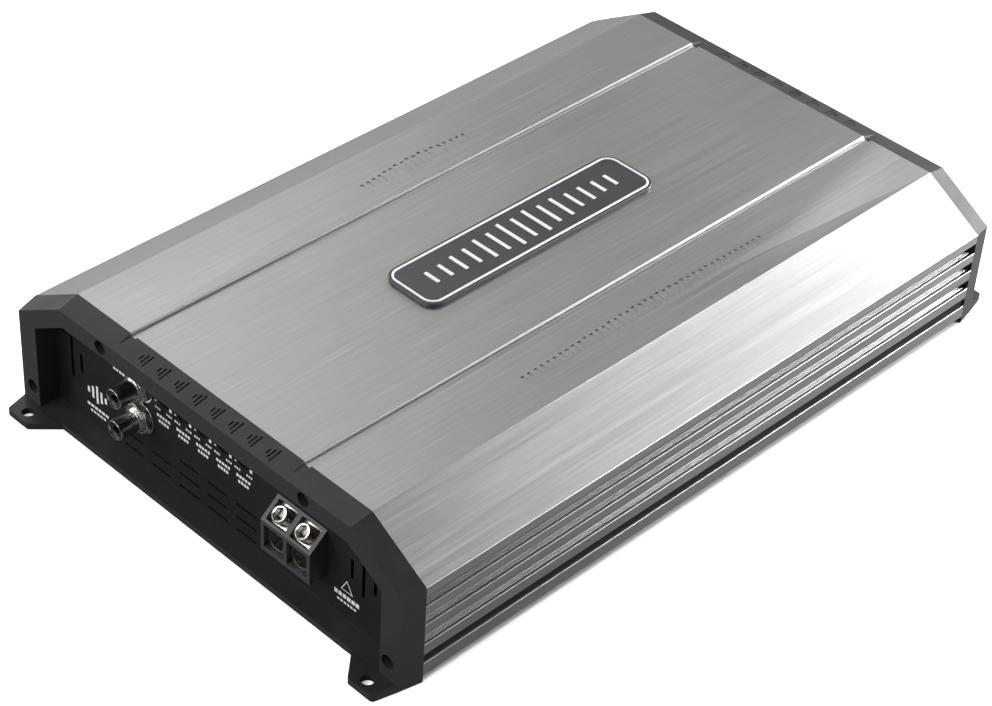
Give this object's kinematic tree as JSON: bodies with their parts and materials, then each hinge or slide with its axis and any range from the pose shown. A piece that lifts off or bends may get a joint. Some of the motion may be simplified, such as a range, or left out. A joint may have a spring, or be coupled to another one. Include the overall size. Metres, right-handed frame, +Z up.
{
  "type": "car amplifier",
  "caption": "Mono car power amplifier: brushed aluminium heatsink body with side fins, black end caps with mounting tabs, phono inputs, level dials and screw terminals.",
  "frame": {"origin": "middle of the footprint, on the mounting surface", "axes": "+Y along the length, from the control panel to the power panel; +X across the width; +Z up out of the mounting surface"},
  "size_m": [0.211, 0.3404, 0.0619],
  "materials": {
    "badge_face": "satin charcoal",
    "badge_white": "silver white",
    "black_plastic": "moulded black",
    "black_steel": "black passivated",
    "board": "green solder mask",
    "cap_plastic": "fine textured black",
    "copper": "enamelled copper wire",
    "ferrite": "sintered",
    "gold": "gold flashed",
    "green_light": "clear tinted",
    "grey_plastic": "moulded grey",
    "heatsink": "lengthwise brushed, clear anodised",
    "insulator": "silicone sheet",
    "iron_powder": "yellow coating",
    "nickel": "nickel plated",
    "panel": "matte black powder coat",
    "red_light": "clear tinted",
    "seal": "plain black",
    "sleeve": "shrink sleeve",
    "steel": "zinc plated",
    "terminal_plastic": "glass filled grey black"
  },
  "bodies": {
    "root": {"heatsink": "heatsink", "channel_strips": "seal", "bottom_plate": "black_steel", "bottom_plate_screws": "black_steel", "front_end_cap": "cap_plastic", "rear_end_cap": "cap_plastic", "front_cap_screws": "black_steel", "rear_cap_screws": "black_steel", "front_panel": "panel", "rear_panel": "panel", "nameplate": "badge_face", "nameplate_rim": "badge_white", "nameplate_bars": "badge_white", "circuit_board": "board", "board_standoffs": "steel", "board_screws": "steel", "control_board": "board", "control_board_header": "gold", "potentiometer_bodies": "grey_plastic", "rca_housing": "black_plastic", "rca_shells": "nickel", "rca_insulators": "black_plastic", "rca_contacts": "gold", "rca_nuts": "nickel", "rca_washers": "nickel", "speaker_terminal_block": "terminal_plastic", "speaker_terminal_clamps": "nickel", "power_terminal_block": "terminal_plastic", "power_terminal_clamps": "nickel", "remote_level_socket": "black_plastic", "power_light": "green_light", "protection_light": "red_light", "transformer_cores": "ferrite", "transformer_windings": "copper", "choke_cores": "iron_powder", "choke_windings": "copper", "capacitors": "sleeve", "power_transistors": "black_plastic", "transistor_pads": "insulator", "clamp_bars": "steel", "clamp_bar_screws": "steel"},
    "gain_dial": {"gain_dial": "grey_plastic"},
    "subsonic_dial": {"subsonic_dial": "grey_plastic"},
    "low_pass_dial": {"low_pass_dial": "grey_plastic"},
    "bass_boost_dial": {"bass_boost_dial": "grey_plastic"},
    "boost_frequency_dial": {"boost_frequency_dial": "grey_plastic"},
    "speaker_negative_pad": {"speaker_negative_pad": "nickel"},
    "speaker_negative_screw": {"speaker_negative_screw": "nickel"},
    "speaker_positive_pad": {"speaker_positive_pad": "nickel"},
    "speaker_positive_screw": {"speaker_positive_screw": "nickel"},
    "battery_pad": {"battery_pad": "nickel"},
    "battery_screw": {"battery_screw": "nickel"},
    "remote_pad": {"remote_pad": "nickel"},
    "remote_screw": {"remote_screw": "nickel"},
    "ground_pad": {"ground_pad": "nickel"},
    "ground_screw": {"ground_screw": "nickel"}
  },
  "joints": [
    {"name": "gain_turn", "type": "hinge", "parent": "root", "child": "gain_dial", "pos_m": [-0.0312, -0.1486, 0.04], "axis": [0, 1, 0], "range_deg": [-150, 150]},
    {"name": "subsonic_turn", "type": "hinge", "parent": "root", "child": "subsonic_dial", "pos_m": [-0.0202, -0.1486, 0.04], "axis": [0, 1, 0], "range_deg": [-150, 150]},
    {"name": "low_pass_turn", "type": "hinge", "parent": "root", "child": "low_pass_dial", "pos_m": [-0.0092, -0.1486, 0.04], "axis": [0, 1, 0], "range_deg": [-150, 150]},
    {"name": "bass_boost_turn", "type": "hinge", "parent": "root", "child": "bass_boost_dial", "pos_m": [0.0018, -0.1486, 0.04], "axis": [0, 1, 0], "range_deg": [-150, 150]},
    {"name": "boost_frequency_turn", "type": "hinge", "parent": "root", "child": "boost_frequency_dial", "pos_m": [0.0128, -0.1486, 0.04], "axis": [0, 1, 0], "range_deg": [-150, 150]},
    {"name": "speaker_negative_clamp", "type": "slide", "parent": "root", "child": "speaker_negative_pad", "axis": [0, 0.6485, -0.7612], "range_m": [0, 0.0066]},
    {"name": "speaker_negative_turn", "type": "hinge", "parent": "speaker_negative_pad", "child": "speaker_negative_screw", "pos_m": [0.038, -0.15485, 0.03305], "axis": [0, 0.6485, -0.7612], "range_deg": [0, 2380]},
    {"name": "speaker_positive_clamp", "type": "slide", "parent": "root", "child": "speaker_positive_pad", "axis": [0, 0.6485, -0.7612], "range_m": [0, 0.0066]},
    {"name": "speaker_positive_turn", "type": "hinge", "parent": "speaker_positive_pad", "child": "speaker_positive_screw", "pos_m": [0.05, -0.15485, 0.03305], "axis": [0, 0.6485, -0.7612], "range_deg": [0, 2380]},
    {"name": "battery_clamp", "type": "slide", "parent": "root", "child": "battery_pad", "axis": [0, -0.6485, -0.7612], "range_m": [0, 0.0066]},
    {"name": "battery_turn", "type": "hinge", "parent": "battery_pad", "child": "battery_screw", "pos_m": [0.05, 0.15485, 0.03305], "axis": [0, -0.6485, -0.7612], "range_deg": [0, 2380]},
    {"name": "remote_clamp", "type": "slide", "parent": "root", "child": "remote_pad", "axis": [0, -0.6485, -0.7612], "range_m": [0, 0.0066]},
    {"name": "remote_turn", "type": "hinge", "parent": "remote_pad", "child": "remote_screw", "pos_m": [0.038, 0.15485, 0.03305], "axis": [0, -0.6485, -0.7612], "range_deg": [0, 2380]},
    {"name": "ground_clamp", "type": "slide", "parent": "root", "child": "ground_pad", "axis": [0, -0.6485, -0.7612], "range_m": [0, 0.0066]},
    {"name": "ground_turn", "type": "hinge", "parent": "ground_pad", "child": "ground_screw", "pos_m": [0.026, 0.15485, 0.03305], "axis": [0, -0.6485, -0.7612], "range_deg": [0, 2380]}
  ],
  "couplings": [
    {"joint": "speaker_negative_turn", "follows": "speaker_negative_clamp", "rad_per_m": 6283.2},
    {"joint": "speaker_positive_turn", "follows": "speaker_positive_clamp", "rad_per_m": 6283.2},
    {"joint": "battery_turn", "follows": "battery_clamp", "rad_per_m": 6283.2},
    {"joint": "remote_turn", "follows": "remote_clamp", "rad_per_m": 6283.2},
    {"joint": "ground_turn", "follows": "ground_clamp", "rad_per_m": 6283.2}
  ]
}
